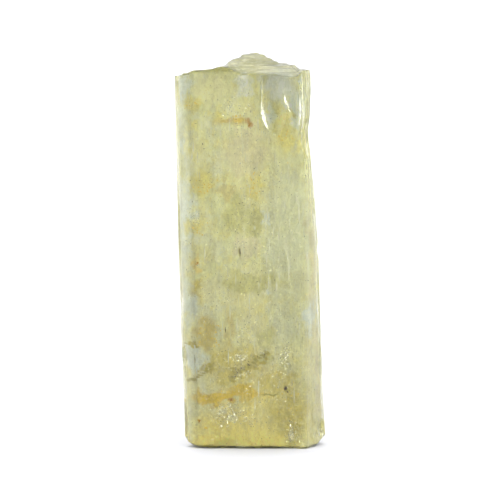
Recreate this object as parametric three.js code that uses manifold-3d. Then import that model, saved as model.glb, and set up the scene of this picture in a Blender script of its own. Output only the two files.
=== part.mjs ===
// A heliodor crystal: one prism of golden beryl, standing on its broken root.
//
// Six striated prism faces meet at 120 degrees, one broad face in front and two long ones behind.
// The upper end is a terraced, broken termination with a knob on it. Shell-shaped chips lie on the
// faces, along the edges and round both rims. The root is broken too, and rests on its flat middle.
//
// Frame: millimetres, +Z up along the prism, the origin on the resting surface, under the middle of
// the bounding box. +X runs to the right along the broad front face, and +Y points away from it.
import * as THREE from "three";
import { mergeVertices } from "three/addons/utils/BufferGeometryUtils.js";
import Module from "manifold-3d";

// ---- Driving dimensions: tables are [where, value], straight between the points ----

const FRONT_Y = -5.4; // the broad front face
const BACK_Y = 5.4; // the narrow back face
const FACE_SLOPE = Math.tan(Math.PI / 3); // the next prism face turns 60 degrees away

// The left and right outline of the prism, as x by height. It leans and widens towards the root.
const LEFT_EDGE = [
  [0, -6.75], [4.6, -6.85], [9.7, -7.08], [14.9, -7.23], [20, -7.39],
  [25.2, -7.5], [29.3, -7.59], [33.9, -7.69], [38.6, -7.75],
];
const RIGHT_EDGE = [
  [0, 7.73], [4.6, 7.45], [9.7, 7.25], [14.9, 7.07], [20, 6.91], [25.2, 6.55],
  [29.3, 6.12], [32.4, 5.85], [33.9, 5.99], [36.5, 6.09], [38.6, 6.02],
];
// How far the narrow face on each side of the front one runs across, by height.
const LEFT_RUN = [[0, 1.1], [14.9, 1.25], [25.2, 1.45], [38.6, 1.3]];
const RIGHT_RUN = [
  [0, 1.95], [4.6, 1.74], [9.7, 1.55], [20, 1.23], [25.2, 0.87], [29.3, 0.51],
  [32.4, 0.35], [38.6, 0.56],
];

// The termination, as height by x: its front rim, the shoulder behind it, and the knob on that.
const RIM_TOP = [
  [-7.75, 37.85], [-6.98, 38.0], [-6.2, 38.25], [-5.4, 38.43], [-3.8, 38.58], [-2.96, 38.76],
  [-2.3, 38.7], [-1.4, 38.2], [-0.9, 38.02], [1.34, 37.98], [2.86, 37.88], [4.2, 37.7], [4.68, 37.85],
  [5.3, 38.45], [6.1, 38.3],
];
const SHOULDER_TOP = [
  [-7.75, 37.5], [-5, 37.95], [-2.74, 38.5], [2.96, 38.9], [3.74, 38.9], [4.42, 38.98], [5.2, 38.86],
  [6.1, 38.1],
];
const KNOB_RISE = [
  [-2.74, 0], [-1.97, 0.7], [-1.28, 0.76], [-1.13, 0.9], [-0.81, 1.1], [-0.07, 1.22],
  [0.6, 1.23], [1.13, 1.06], [1.76, 0.65], [2.39, 0.32], [2.9, 0],
];
const SHOULDER_Y = -0.4; // the shoulder's crest and the knob's middle
const KNOB_REACH = { front: 3.4, back: 2.6 };
const BACK_DROP = [[-7.75, 1.2], [-2, 2.3], [1.5, 1.8], [6.1, 0.9]]; // crest to back rim
const TERRACE = { rise: 0.34, share: 0.75 }; // a step's height, and how much of a slope is stepped
// Ripples across the termination: each one's height, its waves along x and y, and how much it winds.
const TOP_RIPPLES = [
  { height: 0.09, alongX: 1.1, alongY: 0, wind: 2.3 },
  { height: 0.054, alongX: -1.7, alongY: 2.3, wind: 0 },
];
const WINDING = 0.8; // waves along y of that winding

// The root: how far the front rim is lifted, by x, and the bevels at its left and right ends.
const RIM_LIFT = [
  [-6.2, 0.5], [-3.4, 0.33], [-1, 0.13], [0.7, 0.25], [1.9, 0.33], [3.4, 0.09], [5.4, 0], [6.3, 0.1],
];
const BACK_LIFT = { mean: 0.5, swing: 0.3, alongX: 1.7, alongY: 0.6 };
const RIM_WIDTH = 1.3; // inside this, the root is flat
const RIM_CURVE = 1.5; // the power with which the lift grows towards the rim
const BEVELS = [{ from: -5.9, slope: -1.3 }, { from: 6.5, slope: 0.85 }];

// Growth striations: bands of each face, sunk a little in steps, which fade in and out with height.
const FACES = [
  { name: "front", bands: 13 },
  { name: "right", bands: 4 },
  { name: "back_right", bands: 9 },
  { name: "back", bands: 5 },
  { name: "back_left", bands: 9 },
  { name: "left", bands: 3 },
];
const BAND_DEPTH = 0.15;
const BAND_LEAST = 0.45; // the narrowest band's share, where the random part adds up to 1
const BAND_WAVES = { least: 0.1, spread: 0.25 }; // how fast a band's depth swings with height
const BAND_FADE = 0.45; // how much of the depth that swing takes, either way
const RISER = 0.05; // half the width of the step between two bands
const SEED = 20;

// Shell-shaped chips on the faces. along is the share of the face's width, z the middle's height.
const CHIPS = [
  { face: "front", along: 0.735, z: 35.7, wide: 1.45, tall: 3.7, deep: 0.55 },
  { face: "front", along: 0.9, z: 35.3, wide: 0.85, tall: 2.7, deep: 0.32 },
  { face: "front", along: 0.55, z: 36.4, wide: 0.8, tall: 1.7, deep: 0.16 },
  { face: "front", along: 0.88, z: 1.1, wide: 1.1, tall: 1.5, deep: 0.3 },
  { face: "front", along: 0.3, z: 0.5, wide: 1.6, tall: 0.9, deep: 0.25 },
  { face: "left", along: 0.4, z: 9.3, wide: 0.9, tall: 1.1, deep: 0.22 },
  { face: "right", along: 0.6, z: 31.6, wide: 0.9, tall: 1.7, deep: 0.18 },
  { face: "right", along: 0.75, z: 1.9, wide: 0.8, tall: 1, deep: 0.35 },
  { face: "back_right", along: 0.3, z: 33.2, wide: 2.4, tall: 3.2, deep: 0.7 },
  { face: "back_right", along: 0.72, z: 9, wide: 1.5, tall: 2.6, deep: 0.35 },
  { face: "back_left", along: 0.35, z: 21.5, wide: 2.1, tall: 3.4, deep: 0.5 },
  { face: "back_left", along: 0.75, z: 2.6, wide: 2.3, tall: 2.4, deep: 0.8 },
  { face: "back", along: 0.5, z: 36.4, wide: 1.9, tall: 2.3, deep: 0.6 },
];
const SHELL = 4; // a chip's curve, as its radius across the face over its depth
const UNEVEN = { share: 0.09, across: 4, up: 3, turn: 2 }; // how a chip's outline wanders
// Small nicks along the six upright edges and round the upper rim.
const EDGE_NICKS = { each: 3, wide: 0.45, tall: 0.8, deep: 0.14 };
const RIM_NICKS = { each: 2, wide: 0.55, tall: 0.4, deep: 0.18 };
const NICK_SCALE = { least: 0.4, spread: 0.9 };
const NICKED = { from: 1.5, to: 36.5 }; // the heights between which the edges are nicked

// The blanks that the crystal is cut from: the prism's ends and the block's half sides.
const PRISM = { low: -1, high: 42 };
const BLOCK = { halfX: 9, halfY: 7 };

// Mesh density.
const ROWS = 14; // up the sides
const CELL = 0.6; // of the grid that the two ends are drawn on
const CHIP_SIDES = 11;
const NICK_SIDES = 7;
const SAME_POINT = 1e-4; // vertices of a unit ball closer than this are one

const GOLDEN_BERYL = new THREE.MeshStandardMaterial({
  name: "golden_beryl",
  color: new THREE.Color(0.78, 0.76, 0.56),
  roughness: 0.25,
  metalness: 0,
  transparent: true,
  opacity: 0.85,
});

// ---- Small helpers ----

const clamp = (v, low, high) => Math.min(high, Math.max(low, v));
const mix = (a, b, t) => a + (b - a) * t;
const smooth = (t) => t * t * (3 - 2 * t);

function lookUp(table, at) {
  const next = table.findIndex(([where]) => where > at);
  if (next === 0) return table[0][1];
  if (next < 0) return table[table.length - 1][1];
  const [x0, v0] = table[next - 1];
  const [x1, v1] = table[next];
  return mix(v0, v1, (at - x0) / (x1 - x0));
}

// The same numbers from 0 to 1 every run.
function randomStream(seed) {
  let state = seed >>> 0;
  return () => {
    state = (Math.imul(state, 1664525) + 1013904223) >>> 0;
    return state / 2 ** 32;
  };
}
const random = randomStream(SEED);

// ---- The prism's section ----

// The six corners at a height, in the order of FACES, counterclockwise from the front left.
function corners(z) {
  const left = lookUp(LEFT_EDGE, z);
  const right = lookUp(RIGHT_EDGE, z);
  const leftRun = lookUp(LEFT_RUN, z);
  const rightRun = lookUp(RIGHT_RUN, z);
  const leftY = FRONT_Y + leftRun * FACE_SLOPE;
  const rightY = FRONT_Y + rightRun * FACE_SLOPE;
  return [
    [left + leftRun, FRONT_Y],
    [right - rightRun, FRONT_Y],
    [right, rightY],
    [right - (BACK_Y - rightY) / FACE_SLOPE, BACK_Y],
    [left + (BACK_Y - leftY) / FACE_SLOPE, BACK_Y],
    [left, leftY],
  ];
}

// A point on a face and the face's outward direction, both in the plane of the section.
function onFace(face, along, z) {
  const c = corners(z);
  const [x0, y0] = c[face];
  const [x1, y1] = c[(face + 1) % c.length];
  const length = Math.hypot(x1 - x0, y1 - y0);
  return {
    point: [mix(x0, x1, along), mix(y0, y1, along)],
    outward: [(y1 - y0) / length, (x0 - x1) / length],
    length,
  };
}

// Where each face's columns stand, and how deep each is sunk: two columns to a band.
function striatedColumns() {
  const columns = [];
  FACES.forEach(({ bands }, face) => {
    columns.push({ face, along: 0, depth: 0, waves: 0, phase: 0 });
    const widths = Array.from({ length: bands }, () => BAND_LEAST + random());
    const total = widths.reduce((sum, w) => sum + w);
    const riser = RISER / onFace(face, 0, SHOULDER_TOP[0][1] / 2).length;
    let start = 0;
    for (const width of widths) {
      const end = start + width / total;
      const band = {
        face,
        depth: BAND_DEPTH * random(),
        waves: BAND_WAVES.least + BAND_WAVES.spread * random(),
        phase: 2 * Math.PI * random(),
      };
      columns.push({ ...band, along: start + riser }, { ...band, along: end - riser });
      start = end;
    }
  });
  return columns;
}

function columnAt({ face, along, depth, waves, phase }, z) {
  const { point, outward } = onFace(face, along, z);
  const sunk = depth * (1 - BAND_FADE + BAND_FADE * Math.sin(waves * z + phase));
  return [point[0] - sunk * outward[0], point[1] - sunk * outward[1]];
}

// How far inside the six faces a point is, at the root.
function inside(x, y) {
  return Math.min(
    ...corners(0).map(([cornerX, cornerY], face) => {
      const { outward } = onFace(face, 0, 0);
      return (cornerX - x) * outward[0] + (cornerY - y) * outward[1];
    }),
  );
}

// ---- The two broken ends, as height by place ----

function terraced(z) {
  const steps = z / TERRACE.rise;
  const climb = smooth(smooth(steps - Math.floor(steps)));
  return mix(z, (Math.floor(steps) + climb) * TERRACE.rise, TERRACE.share);
}

function ripples(x, y) {
  return TOP_RIPPLES.reduce((sum, { height, alongX, alongY, wind }) => {
    return sum + height * Math.sin(alongX * x + alongY * y + wind * Math.sin(WINDING * y));
  }, 0);
}

function topHeight(x, y) {
  const ahead = y < SHOULDER_Y;
  const crest = lookUp(SHOULDER_TOP, x);
  const away = clamp((y - SHOULDER_Y) / ((ahead ? FRONT_Y : BACK_Y) - SHOULDER_Y), 0, 1);
  const rim = ahead ? lookUp(RIM_TOP, x) : crest - lookUp(BACK_DROP, x);
  const reach = ahead ? KNOB_REACH.front : KNOB_REACH.back;
  const out = clamp(Math.abs(y - SHOULDER_Y) / reach, 0, 1);
  const knob = lookUp(KNOB_RISE, x) * (1 - out * out);
  return terraced(mix(crest, rim, away) + knob + ripples(x, y) * Math.sin(Math.PI * away));
}

function rootHeight(x, y) {
  const { mean, swing, alongX, alongY } = BACK_LIFT;
  const back = mean + swing * Math.sin(alongX * x + alongY * y);
  const share = clamp((y - FRONT_Y) / (BACK_Y - FRONT_Y), 0, 1);
  const lift = mix(lookUp(RIM_LIFT, x), back, smooth(share));
  const outer = clamp(1 - inside(x, y) / RIM_WIDTH, 0, 1);
  const bevels = BEVELS.map(({ from, slope }) => (x - from) * slope);
  return Math.max(lift * outer ** RIM_CURVE, 0, ...bevels);
}

// ---- The solid ----

const wasm = await Module();
wasm.setup();

function solidFrom(positions, triangles) {
  return new wasm.Manifold(
    new wasm.Mesh({
      numProp: 3,
      vertProperties: new Float32Array(positions.flat()),
      triVerts: new Uint32Array(triangles.flat()),
    }),
  );
}

// The six striated faces, running on past both ends, with flat caps.
function prism() {
  const columns = striatedColumns();
  const n = columns.length;
  const { low, high } = PRISM;
  const heights = Array.from({ length: ROWS + 1 }, (_, row) => mix(low, high, row / ROWS));
  const positions = heights.flatMap((z) => columns.map((column) => [...columnAt(column, z), z]));
  const foot = positions.push([0, 0, low]) - 1;
  const head = positions.push([0, 0, high]) - 1;
  const triangles = [];
  for (let i = 0; i < n; i++) {
    const next = (i + 1) % n;
    for (let a = i, b = next; a < ROWS * n; a += n, b += n)
      triangles.push([a, b, b + n], [a, b + n, a + n]);
    triangles.push([foot, next, i], [head, ROWS * n + i, ROWS * n + next]);
  }
  return solidFrom(positions, triangles);
}

// All that lies between the two broken ends, as a block wider than the prism.
function betweenTheEnds() {
  const { halfX, halfY } = BLOCK;
  const nx = Math.round((2 * halfX) / CELL);
  const ny = Math.round((2 * halfY) / CELL);
  const positions = [];
  for (const heightAt of [rootHeight, topHeight])
    for (let j = 0; j <= ny; j++)
      for (let i = 0; i <= nx; i++) {
        const x = mix(-halfX, halfX, i / nx);
        const y = mix(-halfY, halfY, j / ny);
        positions.push([x, y, heightAt(x, y)]);
      }
  const up = positions.length / 2;
  const at = (i, j) => j * (nx + 1) + i;
  const triangles = [];
  for (let j = 0; j < ny; j++)
    for (let i = 0; i < nx; i++) {
      const [a, b, c, d] = [at(i, j), at(i + 1, j), at(i + 1, j + 1), at(i, j + 1)];
      triangles.push([a, c, b], [a, d, c], [up + a, up + b, up + c], [up + a, up + c, up + d]);
    }
  const wall = (a, b) => triangles.push([a, b, up + b], [a, up + b, up + a]);
  for (let i = 0; i < nx; i++) {
    wall(at(i, 0), at(i + 1, 0));
    wall(at(i + 1, ny), at(i, ny));
  }
  for (let j = 0; j < ny; j++) {
    wall(at(nx, j), at(nx, j + 1));
    wall(at(0, j + 1), at(0, j));
  }
  return solidFrom(positions, triangles);
}

// An uneven ellipsoid that leaves a hollow of about this half width, half height and depth where
// it meets a flat face.
function chipTool({ point, outward }, z, { wide, tall, deep }, sides) {
  const ball = mergeVertices(bareBall(sides), SAME_POINT);
  const { array } = ball.attributes.position;
  const { share, across, up, turn } = UNEVEN;
  for (let i = 0; i < array.length; i += 3) {
    const swell = 1 + share * Math.sin(across * array[i] + z) * Math.cos(up * array[i + 2] - turn * z);
    array[i] *= swell;
    array[i + 2] *= swell;
  }
  const radius = SHELL * deep;
  const spread = Math.sqrt(1 - ((radius - deep) / radius) ** 2);
  ball.scale(wide / spread, radius, tall / spread);
  ball.rotateZ(Math.atan2(outward[1], outward[0]) + Math.PI / 2);
  const out = radius - deep;
  ball.translate(point[0] + outward[0] * out, point[1] + outward[1] * out, z);
  return new wasm.Manifold(
    new wasm.Mesh({ numProp: 3, vertProperties: array, triVerts: new Uint32Array(ball.index.array) }),
  );
}

function bareBall(sides) {
  const ball = new THREE.SphereGeometry(1, 2 * sides, sides);
  ball.deleteAttribute("normal");
  ball.deleteAttribute("uv");
  return ball;
}

function faceChips() {
  return CHIPS.map((chip) => {
    const face = FACES.findIndex(({ name }) => name === chip.face);
    return chipTool(onFace(face, chip.along, chip.z), chip.z, chip, CHIP_SIDES);
  });
}

function nickTool(place, z, { wide, tall, deep }) {
  const size = NICK_SCALE.least + NICK_SCALE.spread * random();
  return chipTool(place, z, { wide: wide * size, tall: tall * size, deep: deep * size }, NICK_SIDES);
}

function edgeNicks() {
  return FACES.flatMap((_, face) =>
    Array.from({ length: EDGE_NICKS.each }, (_, i) => {
      const z = mix(NICKED.from, NICKED.to, (i + random()) / EDGE_NICKS.each);
      const here = onFace(face, 0, z);
      const before = onFace((face + FACES.length - 1) % FACES.length, 1, z);
      const sum = [here.outward[0] + before.outward[0], here.outward[1] + before.outward[1]];
      const length = Math.hypot(...sum);
      const outward = [sum[0] / length, sum[1] / length];
      return nickTool({ point: here.point, outward }, z, EDGE_NICKS);
    }),
  );
}

function rimNicks() {
  return FACES.flatMap((_, face) =>
    Array.from({ length: RIM_NICKS.each }, (_, i) => {
      const near = onFace(face, (i + random()) / RIM_NICKS.each, RIM_TOP[0][1]);
      return nickTool(near, topHeight(...near.point), RIM_NICKS);
    }),
  );
}

// Puts the origin on the resting surface, under the middle of the bounding box.
function centred(solid) {
  const { min, max } = solid.boundingBox();
  return solid.translate([-(min[0] + max[0]) / 2, -(min[1] + max[1]) / 2, -min[2]]);
}

function crystal() {
  const whole = prism().intersect(betweenTheEnds());
  const tools = [...faceChips(), ...edgeNicks(), ...rimNicks()];
  const chipped = tools.reduce((solid, tool) => solid.subtract(tool), whole);
  const { vertProperties, triVerts } = centred(chipped).getMesh();
  const geometry = new THREE.BufferGeometry()
    .setAttribute("position", new THREE.BufferAttribute(vertProperties, 3))
    .setIndex(new THREE.BufferAttribute(triVerts, 1));
  geometry.computeVertexNormals();
  const mesh = new THREE.Mesh(geometry, GOLDEN_BERYL);
  mesh.name = "heliodor_crystal";
  return mesh;
}

const heliodor = new THREE.Group();
heliodor.add(crystal());

export default heliodor;
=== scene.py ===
"""The look of a heliodor crystal: a clear, striated prism of golden beryl with stains and veils in it.

Sizes are in millimetres, with +Z up along the prism and +Y away from the broad front face. Each piece is
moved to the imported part's origin, and scaled to metres, as it is made.
"""
import math

import bpy
import numpy as np
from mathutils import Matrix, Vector, noise
from mathutils.bvhtree import BVHTree


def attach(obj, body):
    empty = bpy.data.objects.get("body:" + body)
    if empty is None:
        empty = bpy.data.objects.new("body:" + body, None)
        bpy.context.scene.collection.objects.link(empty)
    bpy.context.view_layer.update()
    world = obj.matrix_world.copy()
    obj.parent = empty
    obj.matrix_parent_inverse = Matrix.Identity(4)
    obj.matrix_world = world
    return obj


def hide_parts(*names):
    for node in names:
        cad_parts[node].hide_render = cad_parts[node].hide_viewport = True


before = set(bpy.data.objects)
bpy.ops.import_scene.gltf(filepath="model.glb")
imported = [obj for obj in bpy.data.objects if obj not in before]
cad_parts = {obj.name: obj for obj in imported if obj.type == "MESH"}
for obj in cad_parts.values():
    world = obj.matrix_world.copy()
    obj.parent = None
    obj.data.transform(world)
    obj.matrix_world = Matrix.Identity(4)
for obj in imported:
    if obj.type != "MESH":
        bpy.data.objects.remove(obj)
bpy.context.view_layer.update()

MM = 0.001
CRYSTAL = "heliodor_crystal"

# ---- The crystal's driving dimensions, as in part.mjs: tables are (where, value), straight between ----

FRONT_Y = -5.4  # the broad front face
BACK_Y = 5.4  # the narrow back face
FACE_SLOPE = math.tan(math.pi / 3)  # the next prism face turns 60 degrees away
HALF_TURN = math.pi / 6  # half of that angle

# The left and right outline of the prism, as x by height
LEFT_EDGE = [
    (0, -6.75), (4.6, -6.85), (9.7, -7.08), (14.9, -7.23), (20, -7.39), (25.2, -7.5), (29.3, -7.59),
    (33.9, -7.69), (38.6, -7.75),
]
RIGHT_EDGE = [
    (0, 7.73), (4.6, 7.45), (9.7, 7.25), (14.9, 7.07), (20, 6.91), (25.2, 6.55), (29.3, 6.12),
    (32.4, 5.85), (33.9, 5.99), (36.5, 6.09), (38.6, 6.02),
]
# How far the narrow face on each side of the front one runs across, by height
LEFT_RUN = [(0, 1.1), (14.9, 1.25), (25.2, 1.45), (38.6, 1.3)]
RIGHT_RUN = [
    (0, 1.95), (4.6, 1.74), (9.7, 1.55), (20, 1.23), (25.2, 0.87), (29.3, 0.51), (32.4, 0.35),
    (38.6, 0.56),
]

# The termination, as height by x: its front rim, the shoulder behind it, and the knob on that
RIM_TOP = [
    (-7.75, 37.85), (-6.98, 38), (-6.2, 38.25), (-5.4, 38.43), (-3.8, 38.58), (-2.96, 38.76),
    (-2.3, 38.7), (-1.4, 38.2), (-0.9, 38.02), (1.34, 37.98), (2.86, 37.88), (4.2, 37.7), (4.68, 37.85),
    (5.3, 38.45), (6.1, 38.3),
]
SHOULDER_TOP = [
    (-7.75, 37.5), (-5, 37.95), (-2.74, 38.5), (2.96, 38.9), (3.74, 38.9), (4.42, 38.98), (5.2, 38.86),
    (6.1, 38.1),
]
KNOB_RISE = [
    (-2.74, 0), (-1.97, 0.7), (-1.28, 0.76), (-1.13, 0.9), (-0.81, 1.1), (-0.07, 1.22), (0.6, 1.23),
    (1.13, 1.06), (1.76, 0.65), (2.39, 0.32), (2.9, 0),
]
SHOULDER_Y = -0.4  # the shoulder's crest and the knob's middle
KNOB_REACH = (3.4, 2.6)  # ahead, and behind
BACK_DROP = [(-7.75, 1.2), (-2, 2.3), (1.5, 1.8), (6.1, 0.9)]  # crest to back rim
TERRACE_RISE = 0.34  # a step's height
TERRACE_SHARE = 0.75  # how much of a slope is stepped
TOP_RIPPLE = 0.09  # the height of the ripples across the termination
# Each ripple's share of that height, its waves along x and along y, and how much it winds
RIPPLES = [(1, 1.1, 0, 2.3), (0.6, -1.7, 2.3, 0)]
WINDING = 0.8  # waves along y of that winding

# The root: how far the front rim is lifted, by x, and the bevels at its left and right ends
RIM_LIFT = [
    (-6.2, 0.5), (-3.4, 0.33), (-1, 0.13), (0.7, 0.25), (1.9, 0.33), (3.4, 0.09), (5.4, 0), (6.3, 0.1),
]
BACK_LIFT = (0.5, 0.3, 1.7, 0.6)  # the back rim's mean lift, its swing, and that swing's waves along x and y
RIM_WIDTH = 1.3  # inside this, the root is flat
RIM_CURVE = 1.5  # the power with which the lift grows towards the rim
BEVELS = [(-5.9, -1.3), (6.5, 0.85)]  # from which x, and their slope

# Growth striations: bands of each face, sunk a little in steps, which fade in and out with height
FACES = ["front", "right", "back_right", "back", "back_left", "left"]
BANDS = [13, 4, 9, 5, 9, 3]
BAND_DEPTH = 0.15
BAND_LEAST = 0.45  # the narrowest band's share, where the random part adds up to 1
BAND_WAVES = (0.1, 0.25)  # how fast a band's depth swings with height: least, and spread
BAND_FADE = 0.45  # how much of the depth that swing takes, either way
RISER = 0.05  # half the width of the step between two bands
SEED = 20

# Shell-shaped chips: face, share of its width, height, half width, half height, depth
CHIPS = [
    ("front", 0.735, 35.7, 1.45, 3.7, 0.55),
    ("front", 0.9, 35.3, 0.85, 2.7, 0.32),
    ("front", 0.55, 36.4, 0.8, 1.7, 0.16),
    ("front", 0.88, 1.1, 1.1, 1.5, 0.3),
    ("front", 0.3, 0.5, 1.6, 0.9, 0.25),
    ("left", 0.4, 9.3, 0.9, 1.1, 0.22),
    ("right", 0.6, 31.6, 0.9, 1.7, 0.18),
    ("right", 0.75, 1.9, 0.8, 1, 0.35),
    ("back_right", 0.3, 33.2, 2.4, 3.2, 0.7),
    ("back_right", 0.72, 9, 1.5, 2.6, 0.35),
    ("back_left", 0.35, 21.5, 2.1, 3.4, 0.5),
    ("back_left", 0.75, 2.6, 2.3, 2.4, 0.8),
    ("back", 0.5, 36.4, 1.9, 2.3, 0.6),
]
SHELL = 4  # a chip's curve, as its radius across the face over its depth
UNEVEN = (0.09, 4, 3, 2)  # how a chip's outline wanders: share, waves across, waves up, turn with height
# Small nicks on each upright edge and each side of the rim: how many, half width, half height, depth
EDGE_NICKS = (3, 0.45, 0.8, 0.14)
RIM_NICKS = (2, 0.55, 0.4, 0.18)
NICK_SCALE = (0.4, 0.9)  # least, and spread
NICKED = (1.5, 36.5)  # the heights between which the edges are nicked

# The blanks that the crystal is cut from: the prism's ends and the block's half sides
PRISM_LOW, PRISM_HIGH = -1, 42
BLOCK_X, BLOCK_Y = 9, 7

# ---- What only this finer mesh has ----

WORN = [2, 0.5, 0.25, 0.25, 0.25, 0.4]  # the radius of each upright edge, starting left of the front face
FINE_GRAIN = 0.014  # the height of the finest striations
GRAIN_KNOTS = 11  # the number of heights at which each one is drawn
GRAIN_FADE = 6  # they fade out over one part in this many of a face's width, at both of its edges
FRESH_DEPTH = 0.2  # a surface this far inside the grown faces is a chip's
END_SKIN = 0.03  # a surface this near to the height of a broken end is that end's
SHARP = math.radians(24)

COLUMN_STEP = 0.17
ROW_STEP = 0.25
MIDDLE_Z = 20  # the height at which the columns are about COLUMN_STEP apart
CELL = 0.14
CHIP_SIDES = 22
NICK_SIDES = 10


def random_stream(seed):
    state = seed
    while True:
        state = (state * 1664525 + 1013904223) % 2**32
        yield state / 2**32


draws = random_stream(SEED)


def look_up(table, at):
    where, value = zip(*table)
    return np.interp(at, where, value)


def mix(a, b, t):
    return a + (b - a) * t


def smooth(t):
    return t * t * (3 - 2 * t)


# ---- The prism's section ----


def corners(z):
    """The six corners at each height: an array of 6 by 2 by the heights."""
    left, right = look_up(LEFT_EDGE, z), look_up(RIGHT_EDGE, z)
    left_run, right_run = look_up(LEFT_RUN, z), look_up(RIGHT_RUN, z)
    left_y = FRONT_Y + left_run * FACE_SLOPE
    right_y = FRONT_Y + right_run * FACE_SLOPE
    front = np.full_like(left, FRONT_Y)
    back = np.full_like(left, BACK_Y)
    return np.array([
        (left + left_run, front),
        (right - right_run, front),
        (right, right_y),
        (right - (BACK_Y - right_y) / FACE_SLOPE, back),
        (left + (BACK_Y - left_y) / FACE_SLOPE, back),
        (left, left_y),
    ])


def on_face(face, along, z):
    """A point on a face, the face's outward direction and its width."""
    c = corners(np.asarray(z, float))
    start, end = c[face], c[(face + 1) % 6]
    run = end - start
    width = np.hypot(run[0], run[1])
    return start + run * along, np.array([run[1], -run[0]]) / width, width


def inside(x, y, z=0.0):
    """How far inside the six faces a point is."""
    z = np.broadcast_to(np.asarray(z, float), np.shape(x))
    depths = []
    for face in range(6):
        corner, outward, _ = on_face(face, 0, z)
        depths.append((corner[0] - x) * outward[0] + (corner[1] - y) * outward[1])
    return np.min(depths, axis=0)


def striations():
    """Each face's coarse columns: where each stands, how deep it is sunk, and with which waves and phase."""
    faces = []
    least, spread = BAND_WAVES
    for face, bands in enumerate(BANDS):
        columns = [(0, 0, 0, 0)]
        widths = [BAND_LEAST + next(draws) for _ in range(bands)]
        riser = RISER / on_face(face, 0, SHOULDER_TOP[0][1] / 2)[2]
        start = 0
        for width in widths:
            end = start + width / sum(widths)
            band = (BAND_DEPTH * next(draws), least + spread * next(draws), 2 * math.pi * next(draws))
            columns += [(start + riser, *band), (end - riser, *band)]
            start = end
        faces.append(np.array(columns + [(1, 0, 0, 0)]))
    return faces


def worn_edge(along, width, start, end):
    """Where a column moves on a face whose two edges are rounded to these radii: its share, and how deep."""
    sunk = 0
    for radius, sign in ((start, 1), (end, -1)):
        off = along if sign > 0 else width - along
        reach = radius * math.tan(HALF_TURN)
        if off < reach:
            middle = radius * (1 / math.cos(HALF_TURN) - 1) / 2
            off = mix(middle, reach, off / reach)
            sunk = radius - math.sqrt(radius**2 - (reach - off) ** 2)
            along = off if sign > 0 else width - off
    return along / width, sunk


def striated_columns(z):
    """The upright columns of all six faces, each as an array of x and y by the heights."""
    rng = np.random.default_rng(SEED)
    knots = np.linspace(PRISM_LOW, PRISM_HIGH, GRAIN_KNOTS)
    columns = []
    for face, coarse in enumerate(striations()):
        along, depth, waves, phase = coarse.T
        swing = np.sin(waves[:, None] * z + phase[:, None])
        sunk = depth[:, None] * (1 - BAND_FADE + BAND_FADE * swing)
        sunk[0] = sunk[-1] = 0
        width = float(on_face(face, 0, MIDDLE_Z)[2])
        count = round(width / COLUMN_STEP)
        grain = rng.normal(size=(count, GRAIN_KNOTS))
        for i, share in enumerate(np.arange(count) / count):
            coarsely = np.array([np.interp(share, along, sunk[:, row]) for row in range(len(z))])
            fade = smooth(min(1, GRAIN_FADE * share, GRAIN_FADE * (1 - share)))
            finely = FINE_GRAIN * fade * np.interp(z, knots, grain[i])
            share, worn = worn_edge(share * width, width, WORN[face], WORN[(face + 1) % 6])
            point, outward, _ = on_face(face, share, z)
            columns.append(point - outward * (coarsely + finely + worn))
    return columns


def prism():
    """The six striated faces, running on past both ends, as vertices and triangles."""
    z = np.linspace(PRISM_LOW, PRISM_HIGH, round((PRISM_HIGH - PRISM_LOW) / ROW_STEP) + 1)
    ring = np.array(striated_columns(z))  # columns, xy, rows
    n = len(ring)
    positions = [(x, y, height) for row, height in enumerate(z) for x, y in ring[:, :, row]]
    foot, head = len(positions), len(positions) + 1
    positions += [(0, 0, PRISM_LOW), (0, 0, PRISM_HIGH)]
    last = (len(z) - 1) * n
    triangles = []
    for i in range(n):
        j = (i + 1) % n
        for row in range(0, last, n):
            a, b = row + i, row + j
            triangles += [(a, b, b + n), (a, b + n, a + n)]
        triangles += [(foot, j, i), (head, last + i, last + j)]
    return positions, triangles


# ---- The two broken ends, as height by place ----


def terraced(z):
    steps = z / TERRACE_RISE
    floor = np.floor(steps)
    climb = smooth(smooth(steps - floor))
    return mix(z, (floor + climb) * TERRACE_RISE, TERRACE_SHARE)


def ripples(x, y):
    return sum(
        share * np.sin(along_x * x + along_y * y + wind * np.sin(WINDING * y))
        for share, along_x, along_y, wind in RIPPLES)


def top_height(x, y):
    ahead = y < SHOULDER_Y
    crest = look_up(SHOULDER_TOP, x)
    away = np.clip((y - SHOULDER_Y) / (np.where(ahead, FRONT_Y, BACK_Y) - SHOULDER_Y), 0, 1)
    rim = np.where(ahead, look_up(RIM_TOP, x), crest - look_up(BACK_DROP, x))
    out = np.clip(abs(y - SHOULDER_Y) / np.where(ahead, *KNOB_REACH), 0, 1)
    knob = look_up(KNOB_RISE, x) * (1 - out * out)
    return terraced(mix(crest, rim, away) + knob + TOP_RIPPLE * ripples(x, y) * np.sin(math.pi * away))


def root_height(x, y):
    mean, swing, along_x, along_y = BACK_LIFT
    back = mean + swing * np.sin(along_x * x + along_y * y)
    share = np.clip((y - FRONT_Y) / (BACK_Y - FRONT_Y), 0, 1)
    lift = mix(look_up(RIM_LIFT, x), back, smooth(share))
    outer = np.clip(1 - inside(x, y) / RIM_WIDTH, 0, 1)
    bevels = [(x - start) * slope for start, slope in BEVELS]
    return np.maximum.reduce([lift * outer**RIM_CURVE, 0 * x, *bevels])


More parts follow.
